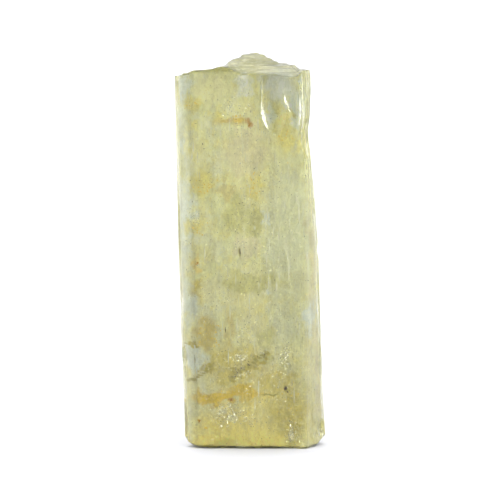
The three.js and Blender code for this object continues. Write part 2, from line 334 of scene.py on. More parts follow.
def between_the_ends():
    """All that lies between the two broken ends, as a block wider than the prism."""
    nx, ny = round(2 * BLOCK_X / CELL), round(2 * BLOCK_Y / CELL)
    x, y = np.meshgrid(np.linspace(-BLOCK_X, BLOCK_X, nx + 1), np.linspace(-BLOCK_Y, BLOCK_Y, ny + 1))
    layers = [np.stack([x, y, height(x, y)], axis=-1).reshape(-1, 3) for height in (root_height, top_height)]
    up = len(layers[0])
    a = (np.arange(ny)[:, None] * (nx + 1) + np.arange(nx)).ravel()
    b, c, d = a + 1, a + nx + 2, a + nx + 1
    triangles = [*zip(a, c, b), *zip(a, d, c), *zip(up + a, up + b, up + c), *zip(up + a, up + c, up + d)]
    at = np.arange(up).reshape(ny + 1, nx + 1)
    for side in (at[0], at[-1][::-1], at[:, -1], at[:, 0][::-1]):
        for p, q in zip(side, side[1:]):
            triangles += [(p, q, up + q), (p, up + q, up + p)]
    return np.concatenate(layers), triangles


# ---- Chips ----


def unit_ball(sides):
    """The vertices and triangles of a ball of radius 1, with this many bands from pole to pole."""
    lat = np.linspace(0, math.pi, sides + 1)[1:-1]
    lon = np.linspace(0, 2 * math.pi, 2 * sides, endpoint=False)
    lat, lon = np.meshgrid(lat, lon, indexing="ij")
    ball = np.stack([np.cos(lon) * np.sin(lat), np.sin(lon) * np.sin(lat), np.cos(lat)], -1).reshape(-1, 3)
    ball = np.concatenate([ball, [(0, 0, 1), (0, 0, -1)]])
    n = 2 * sides
    last = (sides - 2) * n
    triangles = []
    for i in range(n):
        j = (i + 1) % n
        for ring in range(0, last, n):
            triangles += [(ring + i, ring + n + i, ring + n + j), (ring + i, ring + n + j, ring + j)]
        triangles += [(len(ball) - 2, i, j), (len(ball) - 1, last + j, last + i)]
    return ball, triangles


def chip_tool(place, z, size, sides):
    """An uneven ellipsoid that leaves a hollow of this half width, half height and depth in a flat face."""
    (point, outward, _), (wide, tall, deep) = place, size
    ball, triangles = unit_ball(sides)
    share, across, up, turn = UNEVEN
    swell = 1 + share * np.sin(across * ball[:, 0] + z) * np.cos(up * ball[:, 2] - turn * z)
    ball[:, 0] *= swell
    ball[:, 2] *= swell
    radius = SHELL * deep
    spread = math.sqrt(1 - ((radius - deep) / radius) ** 2)
    ball *= (wide / spread, radius, tall / spread)
    angle = math.atan2(outward[1], outward[0]) + math.pi / 2
    cos, sin = math.cos(angle), math.sin(angle)
    x, y = ball[:, 0] * cos - ball[:, 1] * sin, ball[:, 0] * sin + ball[:, 1] * cos
    out = radius - deep
    ball = np.stack([x + point[0] + outward[0] * out, y + point[1] + outward[1] * out, ball[:, 2] + z], -1)
    return ball, triangles


def face_chips():
    for name, along, z, wide, tall, deep in CHIPS:
        yield chip_tool(on_face(FACES.index(name), along, z), z, (wide, tall, deep), CHIP_SIDES)


def nick_tool(place, z, size):
    least, spread = NICK_SCALE
    scale = least + spread * next(draws)
    return chip_tool(place, z, [scale * v for v in size], NICK_SIDES)


def edge_nicks():
    each, *size = EDGE_NICKS
    for face in range(6):
        for i in range(each):
            z = mix(*NICKED, (i + next(draws)) / each)
            point, outward, width = on_face(face, 0, z)
            both = outward + on_face((face + 5) % 6, 1, z)[1]
            yield nick_tool((point, both / np.hypot(*both), width), z, size)


def rim_nicks():
    each, *size = RIM_NICKS
    for face in range(6):
        for i in range(each):
            place = on_face(face, (i + next(draws)) / each, RIM_TOP[0][1])
            yield nick_tool(place, float(top_height(*place[0])), size)


# ---- Meshes ----


def mesh_from(name, positions, triangles):
    mesh = bpy.data.meshes.new(name)
    positions = np.asarray(positions, np.float32)
    triangles = np.asarray(triangles, np.int32)
    mesh.vertices.add(len(positions))
    mesh.vertices.foreach_set("co", positions.ravel())
    mesh.loops.add(triangles.size)
    mesh.loops.foreach_set("vertex_index", triangles.ravel())
    mesh.polygons.add(len(triangles))
    mesh.polygons.foreach_set("loop_start", np.arange(0, triangles.size, 3, dtype=np.int32))
    mesh.update(calc_edges=True)
    return mesh


def new_object(name, data):
    piece = bpy.data.objects.new(name, data)
    bpy.context.scene.collection.objects.link(piece)
    return piece


def combined(mesh, tool, operation):
    """A new mesh, cut by or kept within the tool's. Both of the old ones are used up."""
    whole, other = new_object("whole", mesh), new_object("tool", tool)
    cut = whole.modifiers.new("cut", "BOOLEAN")
    cut.solver = "MANIFOLD"
    cut.operation = operation
    cut.object = other
    depsgraph = bpy.context.evaluated_depsgraph_get()
    result = bpy.data.meshes.new_from_object(whole.evaluated_get(depsgraph))
    for piece in (whole, other):
        data = piece.data
        bpy.data.objects.remove(piece)
        bpy.data.meshes.remove(data)
    return result


def coordinates(mesh):
    co = np.empty(3 * len(mesh.vertices), np.float32)
    mesh.vertices.foreach_get("co", co)
    return co.reshape(-1, 3)


def put_finishes(mesh):
    """Three finishes of the one slot: the grown faces, the chips' fresh breaks and the two broken ends."""
    middles = np.empty(3 * len(mesh.polygons), np.float32)
    mesh.polygons.foreach_get("center", middles)
    middles = middles.reshape(-1, 3).T.astype(float)
    finish = np.zeros(len(mesh.polygons), np.int32)
    finish[inside(*middles) > FRESH_DEPTH] = 1
    finish[middles[2] > top_height(*middles[:2]) - END_SKIN] = 2
    finish[middles[2] < root_height(*middles[:2]) + END_SKIN] = 2
    mesh.materials.clear()
    for material in (grown_face(), fresh_break(), broken_end()):
        mesh.materials.append(material)
    mesh.polygons.foreach_set("material_index", finish)


def crystal():
    """The clear solid, in the frame, and the shift that brings the section's places into the frame."""
    mesh = combined(mesh_from("prism", *prism()), mesh_from("ends", *between_the_ends()), "INTERSECT")
    for tool in [*face_chips(), *edge_nicks(), *rim_nicks()]:
        mesh = combined(mesh, mesh_from("chip", *tool), "DIFFERENCE")
    put_finishes(mesh)
    co = coordinates(mesh)
    low, high = co.min(0), co.max(0)
    shift = -np.array([(low[0] + high[0]) / 2, (low[1] + high[1]) / 2, low[2]])
    mesh.vertices.foreach_set("co", ((co + shift) * MM).astype(np.float32).ravel())
    mesh.update()
    mesh.shade_smooth()
    mesh.set_sharp_from_angle(angle=SHARP)
    return new_object("clear_crystal", mesh), shift


# ---- Inside the crystal: its cloudy core ----

# How finely the core is drawn, how square its section is, and its gap inside each face
CORE_COLUMNS, CORE_ROWS, CORE_CAP_ROWS = 230, 190, 26
CORE_SQUARENESS = 20
CORE_GAPS = [0.28, 0.25, 0.35, 0.35, 0.35, 0.22]
CORE_END_GAP = 0.12  # inside the broken ends
CORE_LOW, CORE_HIGH = 0.6, 38.0  # the heights of its section's two ends
CORE_TAPER = (0.02, 0.98)  # the innermost and the outermost row of each flat end, as shares of its width
CORE_CROWN = 0.1  # how much lower the top is at its rim, gained over the outer third

# How the core's surface is rumpled: the noise along z, its scale, seed and detail
SOFT_RUMPLE = (0.55, 0.42, 3.0, 4)
FINE_RUMPLE = (0.8, 1.9, 9.0, 3)
RUMPLE_FALL, RUMPLE_STEP = 0.9, 2.1  # how fast the octaves weaken, and how much finer each one is
SOFT_DEPTH = 0.34
SOFT_BIAS = 0.45  # with this, more than half of the surface is pushed in
FINE_DEPTH = 0.2

# How the core keeps clear of the chips: the depth of each hollow, its spread and how far it reaches in
HOLLOW_DEPTH = 1.1
HOLLOW_SPREAD = 1.15
HOLLOW_REACH = 3

# Where the crystal is clear to a greater depth: x, z, half width, half height, how much deeper
WINDOWS = [
    (2.9, 36.2, 1.6, 2.6, 0.65), (5.2, 35.6, 0.8, 3.4, 0.2), (-6.9, 36.6, 1, 2, 0.3),
    (-6.8, 31, 1, 2.2, 0.1), (-6.7, 23.8, 1, 3.4, 0.3), (-6.3, 14.6, 1.2, 1.4, 0.3),
    (-6.3, 9.3, 1.1, 1.8, 0.3),
]
WINDOW_SPREAD = 1.6
WINDOW_REACH = 3


def chip_hollow(x, y, z):
    """How deep the chips have cut under the grown faces, near each point and along its own face."""
    deepest = np.zeros_like(x)
    for name, along, height, wide, tall, chip_depth in CHIPS:
        point, outward, _ = on_face(FACES.index(name), along, height)
        across = (x - point[0]) * -outward[1] + (y - point[1]) * outward[0]
        near = (x - point[0]) * outward[0] + (y - point[1]) * outward[1] > -HOLLOW_REACH
        out = np.hypot(across / wide, (z - height) / tall)
        deepest = np.maximum(deepest, near * np.clip(HOLLOW_SPREAD - out**2, 0, 1) * chip_depth)
    return deepest


def windows(x, y, z):
    """How much deeper the clear skin is at each point."""
    deepest = np.zeros_like(x)
    for middle, height, wide, tall, deeper in WINDOWS:
        out = ((x - middle) / wide) ** 2 + ((z - height) / tall) ** 2 + ((y - FRONT_Y) / WINDOW_REACH) ** 2
        deepest = np.maximum(deepest, deeper * smooth(np.clip(WINDOW_SPREAD - out, 0, 1)))
    return deepest


def rumple(x, y, z, upright, scale, seed, detail):
    """Cloudy noise at each point, from about -1 to 1."""
    offset = Vector([seed] * 3)
    points = zip(x.ravel(), y.ravel(), upright * z.ravel())
    octaves = (RUMPLE_FALL, RUMPLE_STEP, detail)
    values = [noise.fractal(Vector(point) * scale + offset, *octaves) for point in points]
    return np.reshape(values, x.shape)


def core_ring(angle, z):
    """The section's middle, and the core's rounded outline round it, before it is rumpled."""
    middle = corners(z).mean(axis=0)
    push = np.zeros_like(z)
    for face, gap in enumerate(CORE_GAPS):
        corner, outward, _ = on_face(face, 0, z)
        reach = (outward * (corner - middle)).sum(axis=0) - gap
        facing = np.cos(angle) * outward[0] + np.sin(angle) * outward[1]
        push += np.clip(facing / reach, 0, None) ** CORE_SQUARENESS
    return middle, push ** (-1 / CORE_SQUARENESS)


def core_places():
    """The core's vertices, as rows of columns: the rows of its lower end, its sides and its upper end."""
    cap = np.linspace(*CORE_TAPER, CORE_CAP_ROWS)
    share = np.pad(np.linspace(0, 1, CORE_ROWS), CORE_CAP_ROWS, mode="edge")
    shrink = np.concatenate([cap, np.ones(CORE_ROWS), cap[::-1]])
    around = np.linspace(0, 2 * math.pi, CORE_COLUMNS, endpoint=False)
    angle, up = np.meshgrid(around, share)
    reach = np.meshgrid(around, shrink)[1]
    rough_z = mix(CORE_LOW, CORE_HIGH, up)
    middle, radius = core_ring(angle, rough_z)
    unit = np.stack([radius * np.cos(angle), radius * np.sin(angle)])
    x, y = middle + unit
    soft = rumple(x, y, rough_z, *SOFT_RUMPLE)
    fine = rumple(x, y, rough_z, *FINE_RUMPLE)
    inward = np.clip(SOFT_DEPTH * (soft + SOFT_BIAS) + FINE_DEPTH * np.abs(fine), 0, None)
    inward += HOLLOW_DEPTH * chip_hollow(x, y, rough_z)
    inward += windows(x, y, rough_z)
    x, y = middle + unit * (1 - inward / radius) * reach
    low, high = root_height(x, y) + CORE_END_GAP, top_height(x, y) - CORE_END_GAP
    high -= CORE_CROWN * smooth(np.clip(reach * 3 - 2, 0, 1))
    return np.stack([x, y, mix(low, high, up)], -1)


def cloudy_core(material, shift):
    """The cloudy inside of the crystal, under a clear skin: a rumpled prism that keeps clear of chips."""
    places = core_places()
    rows, columns, _ = places.shape
    number = np.arange(rows * columns).reshape(rows, columns)
    a, b = number[:-1], np.roll(number[:-1], -1, axis=1)
    c, d = np.roll(number[1:], -1, axis=1), number[1:]
    around = np.concatenate([np.stack([a, b, c], -1).reshape(-1, 3), np.stack([a, c, d], -1).reshape(-1, 3)])
    foot, head = number[0], number[-1]
    ends = [(foot[0], foot[i + 1], foot[i]) for i in range(1, columns - 1)]
    ends += [(head[0], head[i], head[i + 1]) for i in range(1, columns - 1)]
    triangles = np.concatenate([around, ends])
    return inclusion("cloudy_core", material, places.reshape(-1, 3), triangles, shift, rounded=True)


def inclusion(name, material, positions, triangles, shift, rounded=False):
    """A piece inside the crystal, from its places in the section."""
    mesh = mesh_from(name, (positions + shift) * MM, triangles)
    if rounded:
        mesh.shade_smooth()
    else:
        mesh.shade_flat()
    mesh.materials.append(material)
    piece = new_object(name, mesh)
    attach(piece, "root")
    return piece


# ---- Inside the crystal: what lies near its front ----

COVER = 0.02  # how deep under the skin all of a fleck's corners lie, at least
FLECK_UNEVEN = (0.7, 1.2)  # the reach of a fleck's corners, as a share of its half sizes
OCTAHEDRON = np.array([(1, 0, 0), (-1, 0, 0), (0, 1, 0), (0, -1, 0), (0, 0, 1), (0, 0, -1)], float)
OCTAHEDRON_SIDES = np.array([
    (0, 2, 4), (2, 1, 4), (1, 3, 4), (3, 0, 4), (2, 0, 5), (1, 2, 5), (3, 1, 5), (0, 3, 5)])
CLUSTER_SPREAD = 0.5  # how far flecks stray from a place, as a share of its half sizes
CLUSTER_PULL = 0.5  # this power of a random share draws them toward the core

# Where the flecks are strewn: x, z, half width, half height, how many
SPARKLES = [
    (-0.87, 9.2, 0.8, 0.5, 11), (3.6, 9.5, 0.35, 1, 40), (-2.3, 3.6, 1.7, 1.1, 50),
    (4.3, 1.5, 0.7, 1.3, 26), (-5.5, 23.4, 0.5, 0.5, 5), (0.8, 14.9, 0.3, 0.3, 4),
]
FINE_SPARKLES = [
    (-0.87, 9.3, 1, 0.6, 110), (3.6, 9.3, 0.6, 1.4, 210), (-2.3, 3.7, 1.8, 1.2, 200),
    (0.2, 2.8, 1, 0.9, 60), (4.2, 1.6, 0.7, 1.2, 120), (-2.3, 34.8, 1.1, 1.3, 50),
    (-5.5, 23.4, 0.8, 0.8, 70), (-1.1, 7.6, 1.2, 0.7, 70), (-0.6, 12, 0.9, 1.1, 50),
    (2.7, 7.4, 1.2, 0.9, 50), (-0.8, 21.5, 1.8, 1.6, 60),
]
SMALL_CRACKS = [(0, 19, 7.5, 19, 1400), (-1, 6, 5, 5, 200), (-1, 34, 3, 3, 150)]
STAIN_GRAINS = [
    (-5.8, 35, 0.9, 0.65, 14), (-1.5, 33.7, 0.8, 0.4, 16), (3.4, 32.2, 0.7, 2.3, 26),
    (-4.7, 26.8, 1.4, 1.3, 40), (0.3, 26.5, 0.7, 1.4, 40), (-5.1, 22.4, 1, 0.8, 26),
    (-4.2, 11.6, 1.3, 1.4, 40), (-3.4, 5.2, 1.8, 0.6, 26), (-0.2, 5.7, 1.8, 0.55, 26),
    (3.8, 4.4, 1.7, 2.4, 40),
]
RUST_SPOTS = [
    (-0.14, 33, 0.14, 0.3, 30), (-2, 4.97, 0.12, 0.2, 20), (-5.17, 2.81, 0.1, 0.1, 10),
    (-5.4, 18.9, 0.1, 0.15, 8),
]
DARK_PITS = [
    (-1.2, 8.1, 1.2, 0.7, 60), (-0.6, 23.5, 1.8, 1.6, 50), (3.6, 9.3, 0.5, 0.9, 32),
    (-4.6, 27, 1.4, 2, 25), (0, 19, 7, 18, 120),
]
DARK_GRAINS = [
    (-4.86, 31, 0.02, 0.02, 2), (-5.17, 27.3, 0.02, 0.02, 1), (0.36, 28.5, 0.03, 0.03, 2),
    (1.9, 28.5, 0.02, 0.02, 1), (2.9, 29.1, 0.02, 0.02, 1), (3.5, 18.2, 0.02, 0.02, 1),
    (6.2, 16.4, 0.02, 0.02, 1), (0.77, 15.7, 0.03, 0.03, 2), (3.74, 2.4, 0.02, 0.04, 2),
    (-1.5, 6.6, 0.02, 0.02, 1), (-1.1, 25, 0.4, 0.4, 5), (-1.35, 7.9, 0.25, 0.2, 9),
    (-0.85, 8.2, 0.3, 0.2, 9), (-0.2, 8.6, 0.3, 0.25, 9), (3.75, 5.8, 0.06, 0.1, 10),
    (-1.5, 7.4, 0.35, 0.2, 10), (1.2, 9.4, 0.4, 0.25, 8),
]
BLACK_GRAIN = [(3.53, 6.15, 0.07, 0.14, 24)]
DARK_NEEDLES = [(-1.08, 20, 0.03, 0.2, 3), (-2.4, 12, 0.3, 1, 2)]
TUBES = [(0, 19, 7, 18, 60), (3.8, 22, 2.2, 8, 70), (-5.5, 26, 1, 6, 8), (1, 17, 3, 4, 24)]

# Ribbons of painted highlight just under the front face, mirror-bright sheets where the walls of two chips
# and the front-right edge catch the light: x, z and width along each
HIGHLIGHT_RIBBONS = {
    "crescent_highlight_left": [
        (1.16, 37.6, 0.02), (1.12, 36.4, 0.03), (1.1, 35.4, 0.04), (1.1, 34.8, 0.18), (1.2, 34.1, 0.36),
        (1.34, 33.4, 0.32), (1.58, 32.8, 0.2), (1.75, 32.5, 0.05)],
    "crescent_highlight_right": [
        (3.4, 35.9, 0.05), (3.46, 35.5, 0.2), (3.6, 35, 0.26), (3.85, 34.5, 0.15), (4, 34.2, 0.05)],
    "edge_highlight_line": [(5.15, 38, 0.03), (5.2, 36.4, 0.07), (5.22, 34.6, 0.05), (5.3, 33.2, 0.03)],
}
VEILS = {
    "streak_low": [(-2.9, 13.3, 0.02), (-2.86, 12.7, 0.08), (-2.84, 11.9, 0.07), (-2.82, 11.2, 0.02)],
    "streak_beside": [(-2.05, 12.2, 0.02), (-2.03, 11.7, 0.06), (-2, 11.2, 0.05), (-1.98, 10.7, 0.02)],
    "curve_right": [
        (4.2, 15.1, 0.02), (4.4, 14.2, 0.06), (4.75, 13.3, 0.08), (5.1, 12.4, 0.05), (5.3, 11.7, 0.02)],
    "pale_line": [(4.5, 36.3, 0.02), (4.58, 35.2, 0.07), (4.68, 34, 0.09), (4.85, 32.8, 0.02)],
    "curve_beside": [(4.95, 15.4, 0.02), (5.05, 14.4, 0.06), (5.2, 13.4, 0.06), (5.4, 12.5, 0.02)],
}
RIBBON_THICKNESS = 0.03
RIBBON_DEPTH = 0.05  # of its left edge under the skin
RIBBON_TILT = 0.2  # how much deeper the right edge lies, as a share of the width
RIBBON_ROWS = 10  # for each of its points
RIBBON_WAVES = (0.2, 9)  # how its width swings: by this share, with this many waves


def turned(rng, count, upright, facing):
    """Random turns, as count 3 by 3 matrices whose columns are a fleck's long, broad and thin axes."""
    thin = rng.normal(size=(count, 3))
    thin[:, 1] += facing * np.sign(thin[:, 1])
    thin /= np.linalg.norm(thin, axis=1, keepdims=True)
    along = rng.normal(size=(count, 3))
    along[:, 2] += upright * np.sign(along[:, 2])
    across = np.cross(thin, along)
    across /= np.linalg.norm(across, axis=1, keepdims=True)
    return np.stack([np.cross(across, thin), across, thin], axis=-1)


def surface(piece, shift):
    """Something to cast rays at, in mm, in the section's own place."""
    mesh = piece.data
    sides = [list(polygon.vertices) for polygon in mesh.polygons]
    return BVHTree.FromPolygons([Vector(place) for place in coordinates(mesh) / MM - shift], sides)


def depth_at(tree, x, z):
    hit = tree.ray_cast(Vector((x, FRONT_Y - 1, z)), Vector((0, 1, 0)))[0]
    return hit.y if hit else None


def cluster(rng, places, skin, core, least):
    """Points strewn round places, under the skin and down to the core, where that is deeper than least."""
    points = []
    for x, z, wide, tall, count in places:
        for across, up in rng.normal(0, CLUSTER_SPREAD, (count, 2)) * (wide, tall) + (x, z):
            near, far = depth_at(skin, across, up), depth_at(core, across, up)
            if near is not None and far is not None and far - near > least:
                deep = rng.uniform() ** CLUSTER_PULL
                points.append((across, mix(near + least, far + least / 2, deep), up))
    return np.array(points)


def covered(fleck, skin):
    """Whether all of a fleck's corners lie behind the skin."""
    for x, y, z in fleck:
        near = depth_at(skin, x, z)
        if near is None or y <= near + COVER:
            return False
    return True


def flecks(name, material, points, sizes, turns, skin, shift, rng):
    """One mesh of small closed grains under the skin, each an uneven octahedron of its own half sizes."""
    local = OCTAHEDRON * rng.uniform(*FLECK_UNEVEN, (len(points), 6, 1)) * sizes[:, None, :]
    positions = points[:, None, :] + np.einsum("nij,nkj->nki", turns, local)
    positions = positions[[covered(fleck, skin) for fleck in positions]]
    triangles = OCTAHEDRON_SIDES + 6 * np.arange(len(positions))[:, None, None]
    return inclusion(name, material, positions.reshape(-1, 3), triangles.reshape(-1, 3), shift)


def veil_and_highlight_ribbon(name, material, path, skin, shift):
    """A thin closed ribbon just under the front face, with x, z and width along it: a veil, or a
    mirror-bright sheet of painted highlight.
    """
    path = np.array(path, float)
    t = np.linspace(0, len(path) - 1, RIBBON_ROWS * len(path))
    x, z, width = (np.interp(t, range(len(path)), column) for column in path.T)
    share, waves = RIBBON_WAVES
    width = width * (1 + share * np.sin(waves * z))
    edges = []
    for side in (-0.5, 0.5):
        u = x + side * width
        near = np.array([depth_at(skin, *at) for at in zip(u, z)])
        edges.append(np.stack([u, near + RIBBON_DEPTH + RIBBON_TILT * (side + 0.5) * width, z], -1))
    behind = (0, RIBBON_THICKNESS, 0)
    positions = np.concatenate([edges[0], edges[1], edges[1] + behind, edges[0] + behind])
    n = len(t)
    triangles = []
    for ring in range(4):
        a, b = ring * n, (ring + 1) % 4 * n
        for i in range(n - 1):
            triangles += [(a + i, b + i, b + i + 1), (a + i, b + i + 1, a + i + 1)]
    last = n - 1
    triangles += [(0, 2 * n, n), (0, 3 * n, 2 * n)]
    triangles += [(last, n + last, 2 * n + last), (last, 2 * n + last, 3 * n + last)]
    return inclusion(name, material, positions, triangles, shift)


def inclusions(skin, shift):
    """The cloudy core and all that lies in front of it."""
    rng = np.random.default_rng(SEED)
    shine, veil, rust = shining_crack_and_highlight(), white_veil(), rust_brown()
    ochre, dark = ochre_stain(), dark_mineral()
    core = cloudy_core(cloudy(), shift)
    skin_tree, core_tree = surface(skin, shift), surface(core, shift)

    def strew(name, material, where, size, shape, upright=0.0, facing=0.0, least=0.08):
        """Flecks whose half length is in this range, with this shape: their half sizes over that length."""
        points = cluster(rng, where, skin_tree, core_tree, least)
        sizes = rng.uniform(*size, (len(points), 1)) * shape
        turns = turned(rng, len(points), upright, facing)
        return flecks(name, material, points, sizes, turns, skin_tree, shift, rng)

    strew("bright_cracks", shine, SPARKLES, (0.06, 0.18), (1, 0.4, 0.08), facing=4)
    strew("fine_cracks", shine, FINE_SPARKLES, (0.03, 0.09), (1, 0.5, 0.1), facing=6)
    strew("dark_pits", dark, DARK_PITS, (0.02, 0.05), (1, 0.8, 0.5))
    strew("small_cracks", shine, SMALL_CRACKS, (0.03, 0.09), (1, 0.6, 0.08), facing=5)
    strew("ochre_stains", ochre, STAIN_GRAINS, (0.04, 0.12), (1, 0.8, 0.2), facing=7)
    strew("rust_spots", rust, RUST_SPOTS, (0.05, 0.11), (1, 0.8, 0.3), facing=7)
    strew("dark_grains", dark, DARK_GRAINS, (0.05, 0.1), (1, 0.8, 0.5))
    strew("black_grain", dark, BLACK_GRAIN, (0.11, 0.18), (1, 0.8, 0.7), least=0.17)
    strew("dark_needles", dark, DARK_NEEDLES, (0.25, 0.4), (1, 0.14, 0.1), upright=200, facing=30)
    strew("growth_tubes", veil, TUBES, (0.35, 1.2), (1, 0.065, 0.03), upright=200, facing=30)
    # Sheets of painted highlight, and the veils
    for material, ribbons in ((shine, HIGHLIGHT_RIBBONS), (veil, VEILS)):
        for name, path in ribbons.items():
            veil_and_highlight_ribbon(name, material, path, skin_tree, shift)


# ---- The colours in the cloudy core ----


def srgb(red, green, blue):
    def linear(v):
        return v / 12.92 if v <= 0.04045 else ((v + 0.055) / 1.055) ** 2.4
    return tuple(linear(v / 255) for v in (red, green, blue)) + (1,)


def chain(start, end, count, wide, tall):
    """Ellipsoids in a row from one place to another, as x, z, half width, half height."""
    (x0, z0), (x1, z1) = start, end
    return [(mix(x0, x1, t), mix(z0, z1, t), wide, tall) for t in np.linspace(0, 1, count)]


GREENISH = srgb(250, 252, 202)
CREAM = srgb(250, 246, 190)
PALE = srgb(242, 251, 248)
VEIL = srgb(253, 254, 228)
COOL = srgb(244, 248, 220)
TINGE = srgb(246, 238, 158)
DULL = srgb(238, 230, 196)
OCHRE = srgb(243, 230, 108)
ORANGE = srgb(246, 212, 24)
OLIVE = srgb(214, 212, 130)
TAN = srgb(222, 205, 116)
YELLOW = srgb(230, 212, 80)
GOLD = srgb(255, 239, 134)
# The bluish grey of a painted reflection
REFLECTION_GREY = srgb(250, 255, 255)
BROWN = srgb(198, 182, 60)
AMBER = srgb(206, 176, 56)
RUST = srgb(196, 138, 2)
UMBER = srgb(176, 165, 60)
BRIGHT = srgb(255, 252, 208)

# Where each colour gathers at the front face, one over the other: its strength, then x, z, half width and
# half height of its ellipsoids, which reach STAIN_DEPTH into the crystal
STAINS_AND_PAINTED_REFLECTION = [
    (COOL, 0.8, [(3.6, 22, 2.2, 7.5), (3.2, 13.2, 1, 2.2)]),
    (DULL, 0.8, [
        (-0.5, 30.2, 2.4, 2.5), (-0.5, 20.8, 1.2, 1.2), (6.9, 7.6, 0.7, 7), (6.3, 24, 0.6, 12)]),
    (YELLOW, 0.8, [
        (-1.6, 8.4, 3, 2.2), (3.7, 3.4, 2.2, 3.2), (4.2, 3.6, 1.2, 2), (2.7, 6.6, 2, 1.4),
        (-5.2, 16.2, 0.8, 1.2)]),
    (OLIVE, 0.85, [
        (-1.5, 24, 1.1, 2), (0.1, 23.1, 1.1, 1.6), (3.6, 9.2, 0.35, 0.9), (0.2, 17.1, 3.2, 1),
        (1.5, 11.3, 0.8, 0.9), (1.6, 9.6, 0.9, 0.6)]),
    (TAN, 1, [(-4.5, 11.8, 1.2, 1.4)]),
    (TAN, 0.7, [(-2.2, 12.1, 0.55, 1.6), (-2.4, 26.2, 0.8, 0.8)]),
    (PALE, 0.7, [(-7.4, 20, 1.3, 22)]),
    (PALE, 1, [
        (-6.9, 36.6, 0.9, 1.9), (-6.9, 30.6, 0.6, 1.4), (-6.7, 23.8, 1.1, 3.4), (-6.4, 14.6, 1.2, 1.4),
        (-5.8, 9.1, 1.5, 1.4), (4.3, 34.6, 0.6, 1.9), (1.9, 33.8, 0.6, 1.2), (5.8, 13.3, 0.6, 2),
        (1.8, 15.8, 0.5, 0.4), (5.4, 36.6, 0.4, 1.6), (1.6, 23.4, 0.5, 0.6)]),
    (BRIGHT, 0.9, [(-4, 36.6, 1.8, 1.4), (-3.9, 16.2, 1.1, 1.2)]),
    # Painted reflection: bluish grey near the top of the front, chiefly over the clear hollow of the big
    # chip, whose mirroring is painted in here
    (REFLECTION_GREY, 1, [(2.7, 37, 1.6, 1.7), (-0.6, 36.8, 0.8, 1.2)]),
    (OLIVE, 0.6, [(-7.2, 28.6, 0.8, 2.4), (5.5, 33, 0.6, 2.6)]),
    (OCHRE, 0.65, [
        (-5.7, 35.1, 0.9, 0.8), (-5.5, 33.2, 0.5, 0.5), (-3.2, 33.5, 0.7, 0.45), (3.6, 32.2, 0.7, 2.3),
        (4.9, 31.3, 0.3, 1), (-4.7, 27.1, 1, 1.5), (0.4, 26.5, 0.7, 1.3), (-5.6, 22.7, 0.7, 0.9)]),
    (GOLD, 1, [(-1.6, 2.4, 3.6, 2.2), (-1, 0.6, 6, 1.3), (0.4, 5.2, 1.6, 1.2)]),
    (ORANGE, 0.55, [(-5.4, 18.9, 0.35, 0.6)]),
    (ORANGE, 1, [(-1, 5.8, 1.9, 0.65), (-3.9, 5.2, 1.7, 0.65)]),
    (BROWN, 1, [
        (-4.4, 8.1, 0.7, 0.4), (-5.6, 10.5, 0.6, 0.25), (-1.9, 7.2, 0.5, 0.3), (-1.2, 7.7, 0.7, 0.35),
        (-0.3, 8.3, 0.8, 0.4), (0.9, 9.1, 0.7, 0.35), (1.7, 9.8, 0.5, 0.3), (1.9, 5.55, 0.9, 0.15)]),
]

# Small spots and streaks that keep their shape
SPOTS = [
    (TAN, 0.5, [(-3.2, 33.2, 0.6, 0.4), (-1.6, 33.25, 1.1, 0.45)]),
    (AMBER, 0.55, [(-1.3, 33.35, 0.75, 0.36), (-2.4, 33.3, 0.6, 0.2)]),
    (ORANGE, 0.85, [
        (-5.15, 2.85, 0.14, 0.14), (-4.5, 2.1, 0.14, 0.14), *chain((-4.6, 4.8), (-0.2, 5.9), 5, 0.7, 0.3),
        (-1.9, 4.9, 0.4, 0.3)]),
    (ORANGE, 0.5, [(-1.2, 33.4, 0.5, 0.24)]),
    (BRIGHT, 0.85, [(-2.9, 3.8, 0.5, 0.3), (-1.9, 3.1, 0.5, 0.35), (4.1, 1.2, 0.3, 0.6)]),
    (RUST, 0.8, [(-0.3, 33.35, 0.24, 0.3), (-0.1, 32.95, 0.26, 0.32), (-2, 5, 0.24, 0.2)]),
    (UMBER, 0.85, [
        (-1.08, 20, 0.11, 0.55), (3.53, 6.15, 0.2, 0.3),
        *chain((-6.7, 6.6), (-5.7, 6.9), 3, 0.35, 0.12), *chain((-5.6, 7), (-4, 8.4), 7, 0.26, 0.11),
        *chain((-1.8, 7.3), (1.6, 9.8), 11, 0.24, 0.12), (-6.2, 10.5, 0.4, 0.08), (2, 5.5, 0.9, 0.08)]),
]
STAIN_DEPTH = 6.0
BLOB_EDGE = (1.4, 0.6)  # how far out a blob begins and is full, as a share of its half sizes
WANDER = (0.9, 4.0)  # the scale and detail of the noise that shifts stains and spots, each this far
STAIN_WANDER = (2.4, 2.4, 3.0)
SPOT_WANDER = (0.5, 0.5, 0.5)

